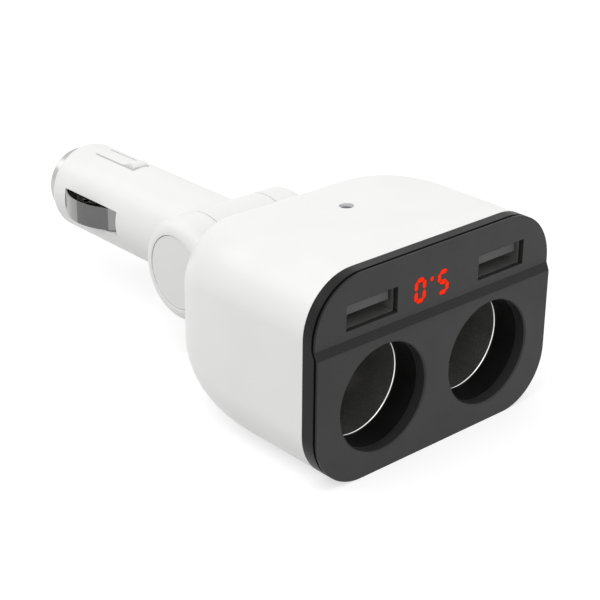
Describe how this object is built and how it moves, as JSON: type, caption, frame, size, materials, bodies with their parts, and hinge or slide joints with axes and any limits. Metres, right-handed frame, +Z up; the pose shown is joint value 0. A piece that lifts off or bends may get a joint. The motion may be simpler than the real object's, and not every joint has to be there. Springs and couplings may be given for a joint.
{
  "type": "car charger plug with sockets",
  "caption": "Folding car lighter plug with a friction hinge and a housing with lighter sockets, charging ports and a lit display; sprung tip and side contacts.",
  "frame": {"origin": "on the plug's axis, at the shoulder that meets the car's socket", "axes": "+Y along the plug to its tip, +Z up, front panel faces -Y, +X to the right seen from the front"},
  "size_m": [0.0632, 0.1265, 0.0426],
  "materials": {
    "white_shell": "glossy white",
    "ring_plastic": "satin dark grey",
    "panel_plastic": "satin dark grey",
    "liner_plastic": "black",
    "bright_steel": "nickel plated",
    "contact_steel": "spring steel",
    "brass": "plain",
    "port_plastic": "dark grey",
    "display_body": "pale",
    "red_light": "lit red",
    "board_green": "solder mask",
    "coil_brown": "varnished",
    "capacitor_blue": "sleeved",
    "indicator_smoke": "smoked",
    "cap_grey": "satin pale grey",
    "fuse_glass": "clear"
  },
  "bodies": {
    "plug": {"plug_shell": "white_shell", "friction_washers": "brass", "nose_ring": "bright_steel", "plug_spring": "bright_steel", "spring_seat": "brass"},
    "housing": {"rear_housing": "white_shell", "bezel_ring": "ring_plastic", "face_plate": "panel_plastic", "socket_liner_left": "liner_plastic", "socket_liner_right": "liner_plastic", "socket_sleeve_left": "bright_steel", "socket_sleeve_right": "bright_steel", "socket_contact_left": "brass", "socket_contact_right": "brass", "usb_shell_left": "bright_steel", "usb_shell_right": "bright_steel", "usb_tongue_left": "port_plastic", "usb_tongue_right": "port_plastic", "usb_pins_left": "brass", "usb_pins_right": "brass", "display_module": "display_body", "display_segments": "red_light", "main_board": "board_green", "power_coil": "coil_brown", "capacitors": "capacitor_blue", "converter_chips": "liner_plastic", "indicator_led": "display_body", "indicator_lens": "indicator_smoke", "board_screws": "bright_steel", "hinge_cap_left": "cap_grey", "hinge_cap_right": "cap_grey", "hinge_screw": "bright_steel", "spring_washer": "bright_steel", "hinge_nut": "bright_steel"},
    "tip": {"centre_pin": "bright_steel", "fuse_glass": "fuse_glass", "fuse_caps": "bright_steel"},
    "contact_left": {"side_contact_left": "contact_steel"},
    "contact_right": {"side_contact_right": "contact_steel"}
  },
  "joints": [
    {"name": "housing_fold", "type": "hinge", "parent": "plug", "child": "housing", "pos_m": [0, -0.012, 0], "axis": [1, 0, 0], "range_deg": [-90, 90]},
    {"name": "pin_press", "type": "slide", "parent": "plug", "child": "tip", "axis": [0, -1, 0], "range_m": [0, 0.003], "stiffness_N_per_m": 800, "springref_m": -0.002, "deforming": ["plug_spring"]},
    {"name": "contact_left_press", "type": "slide", "parent": "plug", "child": "contact_left", "axis": [1, 0, 0], "range_m": [0, 0.002], "stiffness_N_per_m": 1500, "springref_m": -0.0005},
    {"name": "contact_right_press", "type": "slide", "parent": "plug", "child": "contact_right", "axis": [-1, 0, 0], "range_m": [0, 0.002], "stiffness_N_per_m": 1500, "springref_m": -0.0005}
  ]
}
